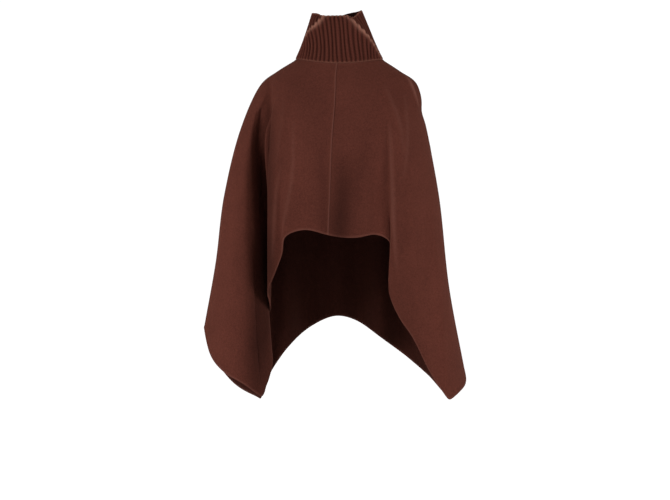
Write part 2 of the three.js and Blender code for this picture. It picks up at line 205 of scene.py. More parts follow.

# Folds of the collar, which stand out along y, given as those of the cloth are: the last column is
# the painted highlight along the crease
COLLAR_FOLDS = [
    ("right crease", "front", [(-26, 132), (-38, 105), (-50, 89), (-69, 73), (-80, 60), (-92, 38)],
     6.0, 3, 17, 0.8),
    ("left crease", "front",
     [(2, 128), (13, 106), (27, 95), (45, 77), (61, 61), (77, 40), (90, 18), (99, 3)],
     7.0, 17, 3, 0.9),
    ("front dent", "front", [(-40, 40), (-15, 34), (18, 38), (44, 46)], -2.0, 22, 22, 0.0),
    ("back dent", "back", [(-60, 62), (-10, 52), (46, 60)], -2.5, 24, 24, 0.0),
]
# Where the ribs bow sideways: bearing and its spread in degrees, share of the height and its spread,
# and how far, towards a greater bearing
RIB_SWAYS = [
    (44, 30, 0.68, 0.32, 20.0), (84, 28, 0.85, 0.42, 14.0), (285, 40, 0.85, 0.42, -25.0),
    (44, 26, 0.2, 0.14, -4.5), (338, 26, 0.5, 0.2, -3.0),
    (8, 7, 0.55, 0.2, 1.5), (352, 6, 0.3, 0.15, -1.3), (335, 6, 0.5, 0.2, -1.6), (24, 6, 0.36, 0.15, 1.4),
    (150, 30, 0.5, 0.3, 2.5), (215, 30, 0.4, 0.3, -2.0),
]
# How the ribs wander: size, waves round the collar, where the waves begin and how far they shift from
# the seam to the rim, both in degrees
RIB_WANDER = [(0.65, 19, 40, 150), (0.55, 31, 200, -240), (0.9, 7, 120, 180)]
# Each side: the axis that it faces along, and which way
SIDES = {"front": (1, -1), "back": (1, 1), "right": (0, -1), "left": (0, 1)}

# Rows of the fine grid down the six spans of each drop line, and the row of the waist, four spans down
FINE_ROWS = 241
WAIST_ROW = (FINE_ROWS - 1) * 4 // 6
# Distances from a seam or a hem at which the grid has a column or a row
SEAM_BAND = (0, 1.8, 2.7, 3.6, 4.8, 6.6, 9.0)
HEM_BAND = (0, 0.7, 1.4, 2.3, 3.4, 4.4, 5.2, 5.8, 6.4, 7.2, 8.4, 10.2)
# How the turns between drop lines are eased, and how far round a corner and up from it they stay sharper
EASE_PASSES = 14
EASE_SHARE = 0.5
CORNER_COLUMNS = 10.0
CORNER_POWER = 6
# How far the cloth has to face a side before a fold or a patch of painted shade on that side begins,
# and is whole
FOLD_FACING = (-0.05, 0.25)
PATCH_FACING = (-0.3, 0.1)
COLLAR_FACING = (-0.3, 0.15)
# How a fold and a turn fade towards their ends: the lower, the later
FOLD_FADE = 0.6
TURN_FADE = 0.7
# Points made for each one that a path is given by, to measure from it and to lay it on the cloth
PATH_STEPS = 8
LAID_STEPS = 12
# Pale lines, painted highlights along folds: their width on the cloth and on the collar's creases,
# and where a path can't be laid
PALE_WIDTH = 5.0
CREASE_PALE_WIDTH = 5.5
LEAST_FACING = 0.22
FARTHEST_LAID = 3.0
TURNED_AWAY = 1e3
FAR_AWAY = 1e9
# The hollows, which are painted darker as painted shade: how widely the cloth is smoothed to find
# them, how deep the darkest is, and what the painted shade and light span
HOLLOW_PASSES = 220
HOLLOW_DEPTH = 26.0
HOLLOW_SPAN = (-0.5, 1)
# A shorter chord of the spline counts as none
LEAST_CHORD = 1e-4


# The spline of the cut

def drop_spline(points, closed, places):
    """Points on a centripetal spline through points, at places from 0 to the number of its spans."""
    count = len(points)
    index = np.floor(places).astype(int)
    share = places - index
    if closed:
        index = index % count
    else:
        at_end = index >= count - 1
        share = np.where(at_end, 1.0, share)
        index = np.where(at_end, count - 2, index)

    def pick(step):
        place = index + step
        if closed:
            return points[place % count]
        held = np.clip(place, 0, count - 1)
        found = points[held].copy()
        found[place < 0] = 2 * points[0] - points[1]
        found[place > count - 1] = 2 * points[-1] - points[-2]
        return found

    before, start, end, after = pick(-1), pick(0), pick(1), pick(2)

    def chord(a, b):
        return (((a - b) ** 2).sum(-1, keepdims=True)) ** 0.25

    span = chord(start, end)
    span = np.where(span < LEAST_CHORD, 1.0, span)
    ahead, behind = chord(before, start), chord(end, after)
    ahead = np.where(ahead < LEAST_CHORD, span, ahead)
    behind = np.where(behind < LEAST_CHORD, span, behind)
    slope_in = ((start - before) / ahead - (end - before) / (ahead + span) + (end - start) / span) * span
    slope_out = ((end - start) / span - (after - start) / (span + behind) + (after - end) / behind) * span
    t = share.reshape((-1,) + (1,) * (points.ndim - 1))
    bend = -3 * start + 3 * end - 2 * slope_in - slope_out
    rest = 2 * start - 2 * end + slope_in + slope_out
    return start + slope_in * t + bend * t ** 2 + rest * t ** 3


def ring_point(ring, bearing_degrees):
    """The point of a ring at a bearing."""
    bearing = math.radians(bearing_degrees)
    side, front = math.sin(bearing), math.cos(bearing)
    middle = (ring["left"] + ring["right"]) / 2
    half_width = (ring["right"] - ring["left"]) / 2
    depth, end_height = ((ring["front"], ring["front_height"]) if front > 0
                         else (ring["back"], ring["back_height"]))
    height = ring["side_height"] + (end_height - ring["side_height"]) * front * front
    return (middle - half_width * side, depth * abs(front), height)


def chest_height(bearing_degrees):
    """The height at which a drop line passes the chest."""
    front = math.cos(math.radians(bearing_degrees))
    end = CHEST_HEIGHT["front"] if front > 0 else CHEST_HEIGHT["back"]
    return CHEST_HEIGHT["side"] + (end - CHEST_HEIGHT["side"]) * front * front


def line_stations(line):
    """The stations of one drop line, from the neck seam to the hem."""
    name, bearing, chest, waist, hem = line
    waist = np.array((*waist, WAIST_HEIGHT), float)
    hem = np.array(hem, float)
    low = (waist + hem) / 2 + np.array((*STAND_OFF.get(name, (0, 0)), 0.0))
    return np.array([
        ring_point(NECK_RING, bearing), ring_point(SLOPE_RING, bearing), ring_point(YOKE_RING, bearing),
        (*chest, chest_height(bearing)), waist, low, hem,
    ], float)


def ordered_lines():
    """All the drop lines round the garment with a close neighbour on each side of a corner, and the
    place of each line by name."""
    lines = FRONT_RIGHT_LINES + BACK_LINES + FRONT_LEFT_LINES
    stations = np.array([line_stations(line) for line in lines])
    hem = stations.shape[1] - 1

    def beside(index, side):
        place = np.array([(index + side * CORNER_REACH) % len(lines)])
        points = drop_spline(stations, True, place)[0]
        neighbour = stations[(index + side) % len(lines), hem]
        points[hem] = stations[index, hem] + (neighbour - stations[index, hem]) * CORNER_REACH
        return points

    ordered, places = [], {}
    for index, line in enumerate(lines):
        if line[0] in CORNERS:
            ordered.append(beside(index, -1))
        places[line[0]] = len(ordered)
        ordered.append(stations[index])
        if line[0] in CORNERS:
            ordered.append(beside(index, 1))
    return np.array(ordered), places


# Grids of points on the cloth

def unit(vectors):
    return vectors / np.linalg.norm(vectors, axis=-1, keepdims=True)


def bell(distance, height, width):
    """A height that fades with the distance, as a bell does."""
    return height * np.exp(-(distance / width) ** 2)


def lengths_along(points):
    """The distance from the first row at each point, along the grid's first axis."""
    steps = np.linalg.norm(np.diff(points, axis=0), axis=-1)
    return np.concatenate([np.zeros((1,) + steps.shape[1:]), np.cumsum(steps, axis=0)])


def spaced(total, count, band):
    """Distances from 0 to total: close together near both ends as band says, and even between."""
    band = np.asarray(band, float)
    middle = np.linspace(band[-1], total - band[-1], count - 2 * len(band) + 2)
    return np.concatenate([band[:-1], middle, (total - band[:-1])[::-1]])


def smoothed_round(grid, passes, weight):
    """The grid with sharp turns round the garment eased, as much as weight allows at each point."""
    for _ in range(passes):
        mean = (np.roll(grid, 1, 0) + np.roll(grid, -1, 0)) / 2
        grid = grid + (mean - grid) * EASE_SHARE * weight[..., None]
    return grid


def surface_normals(grid):
    """Outward unit normals of a grid whose columns run round the garment and whose rows run down."""
    around = np.roll(grid, -1, 0) - np.roll(grid, 1, 0)
    down = np.gradient(grid, axis=1)
    return unit(np.cross(around, down))


def fine_path(path, steps):
    """The spline of a path, with so many points for each one that it is given by."""
    path = np.array(path, float)
    return drop_spline(path, False, np.linspace(0, len(path) - 1, steps * len(path)))


def nearest_on_path(across, level, path):
    """For each point: its distance to a path, its offset across from it, and its share of the way."""
    fine = fine_path(path, PATH_STEPS)
    run = lengths_along(fine)
    best = np.full(across.shape, FAR_AWAY)
    offset = np.zeros(across.shape)
    along = np.zeros(across.shape)
    for start, end, length in zip(fine[:-1], fine[1:], run[:-1]):
        step = end - start
        size = np.linalg.norm(step)
        share = np.clip(((across - start[0]) * step[0] + (level - start[1]) * step[1]) / size ** 2, 0, 1)
        off_across = across - (start[0] + share * step[0])
        off_level = level - (start[1] + share * step[1])
        far = np.hypot(off_across, off_level)
        nearer = far < best
        best = np.where(nearer, far, best)
        offset = np.where(nearer, off_across, offset)
        along = np.where(nearer, length + share * size, along)
    return best, offset, along / run[-1]


def fold_profile(across, level, path, low_width, high_width):
    """A soft ridge of height 1 along a path, which fades at both ends."""
    best, offset, share = nearest_on_path(across, level, path)
    width = np.where(offset < 0, low_width, high_width)
    return bell(best, np.sin(np.pi * share) ** FOLD_FADE, width)


def from_side(grid, normals, side, limits):
    """From a side, each point's place across, how far the cloth there faces it and what share shows."""
    faced, sign = SIDES[side]
    facing = normals[..., faced] * sign
    return grid[..., 1 - faced], facing, smooth_step(*limits, facing)


def distance_on_cloth(grid, path, across, facing):
    """The distance in space from each point of a grid to a path laid on the side that is seen, as far
    as the cloth faces that way there."""
    level = grid[..., 2]
    turned_away = np.where(facing > LEAST_FACING, 0.0, TURNED_AWAY)
    nearest = np.full(across.shape, FAR_AWAY)
    for point in fine_path(path, LAID_STEPS):
        off = np.hypot(across - point[0], level - point[1]) + turned_away
        if off.min() < FARTHEST_LAID:
            place = grid[np.unravel_index(off.argmin(), off.shape)]
            nearest = np.minimum(nearest, ((grid - place) ** 2).sum(-1))
    return np.sqrt(nearest)


def smooth_step(low, high, value):
    """Rises softly from 0 at low to 1 at high."""
    share = np.clip((value - low) / (high - low), 0, 1)
    return share * share * (3 - 2 * share)


def resampled(grid, rows):
    """The same columns with rows at even distances down the cloth and close together at the hem."""
    run = lengths_along(grid.transpose(1, 0, 2)).T
    band = np.array(HEM_BAND, float)
    made = np.empty((grid.shape[0], rows, 3))
    for column in range(grid.shape[0]):
        total = run[column, -1]
        even = np.linspace(0, total - band[-1], rows - len(band) + 1)
        distances = np.concatenate([even[:-1], total - band[::-1]])
        for axis in range(3):
            made[column, :, axis] = np.interp(distances, run[column], grid[column, :, axis])
    return made


class Cloth:
    """The whole garment below the neck seam as one grid of points, and where its panels lie."""

    def __init__(self, settings):
        lines, places = ordered_lines()
        count = len(lines)
        down = np.linspace(0, lines.shape[1] - 1, FINE_ROWS)
        fine = drop_spline(lines.transpose(1, 0, 2), False, down).transpose(1, 0, 2)
        closed = np.concatenate([fine, fine[:1]])
        at_waist, at_hem = closed[:, WAIST_ROW], closed[:, -1]
        widths = np.maximum(np.linalg.norm(np.diff(at_waist, axis=0), axis=-1),
                            np.linalg.norm(np.diff(at_hem, axis=0), axis=-1))
        run = np.concatenate([[0], np.cumsum(widths)])
        ends = [places["centre front seam"], places["right overarm seam"],
                places["left overarm seam"], count]
        numbers = (settings.front_columns, settings.back_columns, settings.front_columns)
        columns, starts = [], [0]
        for first, last, number in zip(ends[:-1], ends[1:], numbers):
            distances = run[first] + spaced(run[last] - run[first], number, SEAM_BAND)
            columns.append(np.interp(distances[:-1], run, np.arange(count + 1)))
            starts.append(starts[-1] + len(distances) - 1)
        around = np.concatenate(columns)
        grid = drop_spline(fine, True, around)
        self.grid = resampled(grid, settings.rows)
        self.starts = starts
        self.around = around
        self.places = places
        self.ease()

    def ease(self):
        """Softens the turns between drop lines, but not the corners of the hem."""
        columns, rows = self.grid.shape[:2]
        weight = np.ones((columns, rows))
        near_hem = np.linspace(0, 1, rows) ** CORNER_POWER
        for name, sharpness in SHARP_CORNERS.items():
            corner = np.abs(self.around - self.places[name]).argmin()
            steps = np.abs((np.arange(columns) - corner + columns // 2) % columns - columns // 2)
            weight -= bell(steps, sharpness, CORNER_COLUMNS)[:, None] * near_hem[None, :]
        self.grid = smoothed_round(self.grid, EASE_PASSES, np.clip(weight, 0, 1))

    def press_folds(self):
        """Lays the folds and turns on the cloth, and finds its painted highlights, painted shade and
        painted light.
        """
        normals = surface_normals(self.grid)
        lift = np.zeros(self.grid.shape[:2])
        self.pale = np.zeros(self.grid.shape[:2])
        for _, side, path, height, low_width, high_width, pale in FOLDS:
            across, facing, seen = from_side(self.grid, normals, side, FOLD_FACING)
            profile = fold_profile(across, self.grid[..., 2], path, low_width, high_width)
            lift += seen * height * profile
            # The pale line along a fold's crest is a painted highlight
            if pale:
                far = distance_on_cloth(self.grid, path, across, facing)
                self.pale += bell(far, seen * pale * profile, PALE_WIDTH)
        for _, first, last, top, bottom, height in TURNS:
            share = np.clip((self.around - self.places[first])
                            / (self.places[last] - self.places[first]), 0, 1)[:, None]
            drop = np.clip((top - self.grid[..., 2]) / (top - bottom), 0, 1)
            lift += height * np.sin(np.pi * share) ** 2 * np.sin(np.pi * drop) ** TURN_FADE
        self.grid = self.grid + normals * lift[..., None]
        # Painted shade: the deeper a hollow lies under the smoothed cloth, the darker it is painted
        full = smoothed_round(self.grid, HOLLOW_PASSES, np.ones(self.grid.shape[:2]))
        sunk = ((full - self.grid) * normals).sum(-1)
        hollow = np.clip(sunk / HOLLOW_DEPTH, 0, 1)
        # Patches of painted shade, and of painted light where they are below 0
        for _, side, path, darker, low_width, high_width in PAINTED_SHADE_PATCHES:
            across, _, seen = from_side(self.grid, normals, side, PATCH_FACING)
            profile = fold_profile(across, self.grid[..., 2], path, low_width, high_width)
            hollow += seen * darker * profile
        self.hollow = np.clip(hollow, *HOLLOW_SPAN)

    def panel(self, number):
        """The grid, normals, painted highlights and painted shade of one panel, with a seam's column at
        both ends.
        """
        first, last = self.starts[number], self.starts[number + 1]
        columns = np.arange(first, last + 1) % self.grid.shape[0]
        normals = surface_normals(self.grid)
        return self.grid[columns].copy(), normals[columns], self.pale[columns], self.hollow[columns]


# Meshes

def loop_quads(columns, loop, closed):
    """Quads of a tube whose rings are columns, each a closed loop of points."""
    last = columns if closed else columns - 1
    column = np.arange(last)[:, None] * loop
    after = ((np.arange(last) + 1) % columns)[:, None] * loop
    step = np.arange(loop)[None, :]
    following = (step + 1) % loop
    quads = [column + step, after + step, after + following, column + following]
    return np.stack(quads, -1).reshape(-1, 4)


def cap_quads(first, loop, flipped):
    """Quads across the end of a tube, between the two halves of its loop."""
    step = np.arange(loop // 2 - 1)
    back = first + loop - 1 - step
    quads = np.stack([first + step, first + step + 1, back - 1, back], -1)
    return quads[:, ::-1] if flipped else quads


def mesh_object(name, points, quads, uv, shades):
    """A smooth mesh from points in millimetres, with a UV map in metres and named shades per point."""
    mesh = bpy.data.meshes.new(name)
    mesh.vertices.add(len(points))
    mesh.vertices.foreach_set("co", (points * MILLIMETRE).astype(np.float32).ravel())
    mesh.loops.add(quads.size)
    mesh.loops.foreach_set("vertex_index", quads.astype(np.int32).ravel())
    mesh.polygons.add(len(quads))
    mesh.polygons.foreach_set("loop_start", np.arange(0, quads.size, 4, dtype=np.int32))
    mesh.polygons.foreach_set("use_smooth", np.ones(len(quads), bool))
    layer = mesh.uv_layers.new(name="cloth")
    layer.data.foreach_set("uv", uv[quads.ravel()].astype(np.float32).ravel())
    for shade, values in shades.items():
        attribute = mesh.attributes.new(shade, "FLOAT", "POINT")
        attribute.data.foreach_set("value", values.astype(np.float32).ravel())
    mesh.update(calc_edges=True)
    mesh.validate()
    made = bpy.data.objects.new(name, mesh)
    bpy.context.scene.collection.objects.link(made)
    return made


# The panels of cloth

# Angles at which the hem's rim has a row of points, from its outer face to its inner one
HEM_ROUND = (60, 25, -25, -60)
# How far each face of an edge in a seam reaches over or under the next piece
SEAM_SLANT = 0.9
# Relief as height and width: seams that stand out or lie low, and the neck seam
RAISED = (0.7, 3.0)
LOW = (-0.2, 5.0)
NECK_RELIEF = (0.8, 3.0)
# The stitched line along the hem, and the distances between which the cloth swells to the turned hem
HEM_LINE = 6.0
HEM_LINE_WIDTH = 0.9
HEM_SWELL = (7.0, 4.5)
# How pale the worn edges are, over what width at the hem and along a seam, and how much less pale
# they are in a hollow, where painted shade lies over them
HEM_PALENESS = 0.52
HEM_PALE_WIDTH = 3.5
SEAM_PALE_WIDTH = 2.2
HOLLOW_SHADE_ON_WEAR = 0.7
# The inside is painted as dark as painted shade in a hollow of this depth
INSIDE_SHADE = 0.95
# Each panel in its order round the garment: name, relief along its first and its last seam, paleness
# along them and along the neck seam, which is partly wear and partly a painted highlight on the seam's
# ridge, and how its edges lap in them
PANELS = [
    ("front_right_cloth", (RAISED, RAISED), (0.65, 0.18, 0.2), (1, -1)),
    ("back_cloth", (RAISED, RAISED), (0.18, 0.18, 0.2), (1, 1)),
    ("front_left_cloth", (RAISED, LOW), (0.18, 0.22, 0.2), (-1, -1)),
]


def round_hem(outer, rim, inner):
    """Values down a panel's outer face, round its hem and up its inner face."""
    return np.concatenate([outer, np.repeat(rim[:, -1:], len(HEM_ROUND), 1), inner[:, ::-1]], 1)


def cloth_panel(cloth, number, settings):
    """One closed piece of cloth: outer face, rounded hem, inner face and the edges in its seams, which
    are cut aslant: a lap of 1 lies over the next piece and one of -1 lies under it."""
    name, reliefs, seam_paleness, laps = PANELS[number]
    grid, normals, pale, hollow = cloth.panel(number)
    thickness = settings.thickness / MILLIMETRE
    gap = settings.seam_gap / MILLIMETRE
    run = lengths_along(grid)
    from_first, from_last = run, run[-1:] - run
    depth = lengths_along(grid.transpose(1, 0, 2)).T
    from_hem = depth[:, -1:] - depth
    lift = bell(from_first, *reliefs[0]) + bell(from_last, *reliefs[1]) + bell(depth, *NECK_RELIEF)
    groove = bell(from_hem - HEM_LINE, settings.hem_groove / MILLIMETRE, HEM_LINE_WIDTH)
    half = np.full(from_hem.shape, thickness / 2) + (lift - groove)
    half += settings.hem_fullness / MILLIMETRE * smooth_step(*HEM_SWELL, from_hem)
    back_half = thickness / 2 - groove
    slant = np.zeros(grid.shape)
    for end, inward, lap in ((0, 1, laps[0]), (-1, -2, laps[1])):
        towards = unit(grid[inward] - grid[end])
        grid[end] += towards * gap / 2
        slant[end] = -towards * lap * SEAM_SLANT
    down = unit(grid[:, -1] - grid[:, -2])
    outer = grid + normals * half[..., None] + slant
    inner = grid - normals * back_half[..., None] - slant
    rims = []
    for degrees in HEM_ROUND:
        up, out = math.sin(math.radians(degrees)), math.cos(math.radians(degrees))
        wall = half[:, -1:] if degrees > 0 else back_half[:, -1:]
        across = (normals[:, -1] * wall + slant[:, -1]) * up
        rims.append(grid[:, -1] + across + down * thickness / 2 * out)
    strip = np.concatenate([outer, np.stack(rims, 1), inner[:, ::-1]], 1)
    columns, loop = strip.shape[:2]
    quads = np.concatenate([loop_quads(columns, loop, False), cap_quads(0, loop, True),
                            cap_quads((columns - 1) * loop, loop, False)])
    # The hem's wear, dimmed in a hollow as painted shade
    hem_paleness = HEM_PALENESS * (1 - HOLLOW_SHADE_ON_WEAR * np.clip(hollow, 0, 1))
    edge = bell(from_hem, hem_paleness, HEM_PALE_WIDTH)
    seams = sum(bell(distance, share, SEAM_PALE_WIDTH) for share, distance in
                zip(seam_paleness, (from_first, from_last, depth)))
    # Wear at the hem and the seams, and the painted highlights along folds and seams
    wear_and_highlight = np.clip(edge + pale + seams, 0, 1)
    uv = np.stack([round_hem(run, run, run), round_hem(depth, depth, depth)], -1) * MILLIMETRE
    # edge: wear and painted highlights; hollow: painted shade and light, with the inside painted in shade
    shades = {"edge": round_hem(wear_and_highlight, hem_paleness, edge),
              "hollow": round_hem(hollow, hollow, np.full(hollow.shape, INSIDE_SHADE))}
    return mesh_object(name, strip.reshape(-1, 3), quads, uv.reshape(-1, 2), shades)


# The ribbed collar

# At the neck seam the collar's end faces and the body's lie this many degrees above straight out
SEAM_TILT = 35
# Points made round a ring of the collar for each of its lines, and how its turns are eased
RING_STEPS = 40
COLLAR_EASE_PASSES = 10
# Shares of the height above the seam over which the ribs begin to sway, and of the way down over which
# the wall turns to the seam
SWAY_BEGINS = (0.0, 0.08)
SEAM_TURN = (0.93, 1.0)
# A rib: the power of its round profile, the distances from the seam over which it rises, how far the
# knit stands out at the least, its share of a rib's height at the seam, and how much further in the
# inside lies behind a groove
RIB_PROFILE = 0.8
RIB_RISES = (0.5, 5.0)
LEAST_RELIEF = 0.3
SEAM_KNIT = 0.35
GROOVE_INSIDE = 0.5
# The inside and the rim: rows of points, and how far the rim stands over the top row
INNER_ROWS = 24
RIM_ROUND = (-60, -20, 20, 60)
RIM_HEIGHT = 1.6
# Painted shade: how light a groove is, where 1 is the top of a rib, the seam between those two, and
# the inside, painted almost black
GROOVE_SHADE = 0.4
SEAM_SHADE = 0.8
INNER_SHADE = 0.1
# How pale the knit is worn at the seam and at the rim, and over what width at the rim
SEAM_WEAR = 0.22
RIM_WEAR = 0.5
RIM_WEAR_WIDTH = 2.0


def neck_direction(points):
    """At the neck seam the end faces of the collar and the body lie along one direction: out and up."""
    middle = np.array([(NECK_RING["left"] + NECK_RING["right"]) / 2,
                       (NECK_RING["front"] + NECK_RING["back"]) / 2, 0])
    outward = unit((points - middle) * (1, 1, 0))
    tilt = math.radians(SEAM_TILT)
    return outward * math.cos(tilt) + np.array([0, 0, math.sin(tilt)])


def rib_sway(bearing, level):
    """How far the ribs bow and wander sideways at a bearing and a share of the height."""
    sway = np.zeros(np.broadcast(bearing, level).shape)
    for middle, spread, height, height_spread, push in RIB_SWAYS:
        off = (bearing - middle + 180) % 360 - 180
        sway += push * np.exp(-(off / spread) ** 2 - ((level - height) / height_spread) ** 2)
    for size, waves, begin, shift in RIB_WANDER:
        sway += size * np.sin(np.radians(waves * bearing + begin + shift * level))
    return sway * smooth_step(*SWAY_BEGINS, level)


def collar_grid(settings):
    """The middle of the collar's wall: a column up each part of a rib, with rows from rim to seam."""
    stations = np.array([[top, fold, ring_point(NECK_RING, bearing)]
                         for bearing, fold, top in COLLAR_LINES], float)
    fine = drop_spline(stations.transpose(1, 0, 2), False, np.linspace(0, 2, settings.rows))
    fine = fine.transpose(1, 0, 2)
    round_places = np.linspace(0, len(fine), RING_STEPS * len(fine) + 1)
    run = lengths_along(drop_spline(fine[:, -1], True, round_places))
    ribs = settings.rib_count * settings.columns_per_rib
    reach = np.linspace(0, run[-1], ribs + 1)[:-1, None]
    sway = rib_sway(360 * reach / run[-1], np.linspace(1, 0, settings.rows)[None, :])
    places = np.interp((reach + sway) % run[-1], run, round_places)
    grid = np.stack([drop_spline(fine[:, row], True, places[:, row]) for row in range(settings.rows)], 1)
    return smoothed_round(grid, COLLAR_EASE_PASSES, np.ones(grid.shape[:2]))


def press_collar(grid):
    """Lays the folds on the collar, and gives the painted highlight along its creases."""
    normals = surface_normals(grid)
    pale = np.zeros(grid.shape[:2])
    for _, side, path, height, low_width, high_width, paleness in COLLAR_FOLDS:
        faced, sign = SIDES[side]
        across, facing, seen = from_side(grid, normals, side, COLLAR_FACING)
        profile = fold_profile(across, grid[..., 2], path, low_width, high_width)
        grid[..., faced] += sign * seen * height * profile
        # The pale line along a crease is a painted highlight
        if paleness:
            far = distance_on_cloth(grid, path, across, facing)
            pale += bell(far, paleness * profile, CREASE_PALE_WIDTH)
    return pale


def ribbed_collar(settings):
    """The collar as one closed tube of knit: ribs outside, a plain inside and a rounded rim."""
    grid = collar_grid(settings)
    pale = press_collar(grid)
    columns, rows = grid.shape[:2]
    turned = smooth_step(*SEAM_TURN, np.linspace(0, 1, rows))[None, :, None]
    normals = unit(surface_normals(grid) * (1 - turned) + neck_direction(grid) * turned)
    phase = (np.arange(columns) % settings.columns_per_rib) / settings.columns_per_rib
    crown = ((0.5 - 0.5 * np.cos(2 * np.pi * phase)) ** RIB_PROFILE)[:, None]
    depth = lengths_along(grid.transpose(1, 0, 2)).T
    knitted = smooth_step(*RIB_RISES, depth[:, -1:] - depth)
    rib_height = settings.rib_height / MILLIMETRE
    relief = LEAST_RELIEF + rib_height * (crown * knitted + SEAM_KNIT * (1 - knitted))
    inside = settings.inside / MILLIMETRE + GROOVE_INSIDE * (1 - crown)
    outer = grid + normals * relief[..., None]
    inner_rows = np.linspace(rows - 1, 0, INNER_ROWS).astype(int)
    inner = grid[:, inner_rows] - normals[:, inner_rows] * inside[..., None]
    up = unit(grid[:, 0] - grid[:, 1])
    rims = []
    for degrees in RIM_ROUND:
        lift, out = math.cos(math.radians(degrees)), math.sin(math.radians(degrees))
        reach = relief[:, :1] if degrees > 0 else inside
        rims.append(grid[:, 0] + up * RIM_HEIGHT * lift + normals[:, 0] * reach * out)
    strip = np.concatenate([outer, inner, np.stack(rims, 1)], 1)
    loop = strip.shape[1]
    along = np.concatenate([depth, depth[:, inner_rows], np.zeros((columns, len(RIM_ROUND)))], 1)
    across = np.repeat((np.arange(columns) / settings.columns_per_rib)[:, None], loop, 1)
    uv = np.stack([across, along * MILLIMETRE], -1).reshape(-1, 2)
    # Painted shade: the grooves between ribs, the seam and the inside are painted darker
    lighter = 1 - GROOVE_SHADE
    shade = np.repeat(GROOVE_SHADE + lighter * crown, loop, 1)
    shade[:, :rows] = GROOVE_SHADE + lighter * (crown * knitted + SEAM_SHADE * (1 - knitted))
    shade[:, rows:rows + INNER_ROWS] = INNER_SHADE * (1 - crown)
    # Wear at the seam and the rim, and the painted highlight along the creases
    wear_and_highlight = np.zeros((columns, loop))
    edges = SEAM_WEAR * (1 - knitted) + bell(depth, RIM_WEAR, RIM_WEAR_WIDTH)
    wear_and_highlight[:, :rows] = np.clip(pale + edges, 0, 1)
    return mesh_object("rib_collar_knit", strip.reshape(-1, 3), loop_quads(columns, loop, True), uv,
                       {"rib": shade, "edge": wear_and_highlight})


# Materials

WHITE = (1, 1, 1, 1)
# Noises as scale, detail and roughness: clouds in the dye, matted felt, the nap's fibres and the yarn's
CLOUD_NOISE = (16.0, 4.0, 0.6)
FELT_NOISE = (230.0, 3.0, 0.6)
FIBRE_NOISE = (900.0, 4.0, 0.65)
YARN_NOISE = (700.0, 4.0, 0.65)
FIBRE_STRETCH = (1.0, 1.0, 0.45)
# A mixed colour: place on the noise and share of the colour, for its dark and its light end
CLOTH_MIX = ((0.3, 0.78), (0.72, 1.28))
YARN_MIX = ((0.25, 0.7), (0.8, 1.25))
# Shares of the colour that the dye and the felt bring, the painted shade and light of the hollows, the
# painted shade of the grooves between ribs, and the pale colour of wear and painted highlights
UNEVEN = (0.86, 1.14)
FELT_SPAN = (0.3, 0.7)
HOLLOW_SHADES = (1.3, 0.4)
GROOVE_SHADES = (0.08, 1.15)
WEAR_AND_HIGHLIGHT_SHARE = 0.75
CLOTH_ROUGHNESS = (0.8, 0.95)
KNIT_ROUGHNESS = 0.9
FLOOR_ROUGHNESS = 0.8
SHINE = 0.03
SHEEN_ROUGHNESS = 0.5
# Bumps as strength and distance
NAP_BUMP = (0.35, 0.0006)
KNIT_BUMP = (0.6, 0.0008)
# Stitches: how much they slant from the middle of a rib, how high they stand, and how strongly their
# low parts are painted darker, a painted shade
STITCH_SLANT = 1.5
STITCH_RELIEF = 0.35
STITCH_CONTRAST = 0.6


def new_material(name):
    material = bpy.data.materials.new(name)
    material.use_nodes = True
    tree = material.node_tree
    return material, tree, tree.nodes["Principled BSDF"]


def fill(tree, made, inputs):
    """Gives each input of a node its value, or a link where the value is another node's output."""
    for key, value in inputs.items():
        if isinstance(value, bpy.types.NodeSocket):
            tree.links.new(value, made.inputs[key])
        else:
            made.inputs[key].default_value = value
    return made


def node(tree, kind, inputs=None, **values):
    """The outputs of a new node that has these values and inputs."""
    made = tree.nodes.new("ShaderNode" + kind)
    for key, value in values.items():
        setattr(made, key, value)
    return fill(tree, made, inputs or {}).outputs


def noise(tree, place, scale, detail, roughness):
    inputs = {"Vector": place, "Scale": scale, "Detail": detail, "Roughness": roughness}
    return node(tree, "TexNoise", inputs)["Fac"]


def mixed_colour(tree, value, colour, ends):
    """A colour that runs from a darker to a lighter share of itself with a value."""
    made = tree.nodes.new("ShaderNodeValToRGB")
    for element, (place, share) in zip(made.color_ramp.elements, ends):
        element.position = place
        element.color = (*[part * share for part in colour], 1)
    return fill(tree, made, {"Fac": value}).outputs["Color"]


def brought_to(tree, value, span, old_span=(0, 1)):
    """A value brought from one span to another."""
    return node(tree, "MapRange", {"Value": value, "From Min": old_span[0], "From Max": old_span[1],
                                   "To Min": span[0], "To Max": span[1]})["Result"]


def computed(tree, operation, *values):
    return node(tree, "Math", dict(enumerate(values)), operation=operation)["Value"]


def laid_shade(tree, name):
    return node(tree, "Attribute", attribute_name=name)["Fac"]


def shaded_colour(tree, colour, shade):
    """A colour times a painted shade, which on the cloth also carries painted light and the dye's
    unevenness.
    """
    return node(tree, "Mix", {0: 1.0, 6: colour, 7: shade}, data_type="RGBA", blend_type="MULTIPLY")[2]


def with_wear_and_highlight(tree, colour, pale):
    """A colour with the pale one where the piece shows wear, and where a painted highlight lies along it.
    """
    share = computed(tree, "MULTIPLY", laid_shade(tree, "edge"), WEAR_AND_HIGHLIGHT_SHARE)
    return node(tree, "Mix", {0: share, 6: colour, 7: (*pale, 1)}, data_type="RGBA")[2]


def bumps(tree, height, strength, distance):
    return node(tree, "Bump", {"Height": height, "Strength": strength, "Distance": distance})["Normal"]


def wool_surface(settings):
    """What the cloth and the knit share: hardly any shine and a soft sheen."""
    return {"Specular IOR Level": SHINE, "Sheen Weight": settings.sheen,
            "Sheen Roughness": SHEEN_ROUGHNESS, "Sheen Tint": (*settings.sheen_colour, 1)}


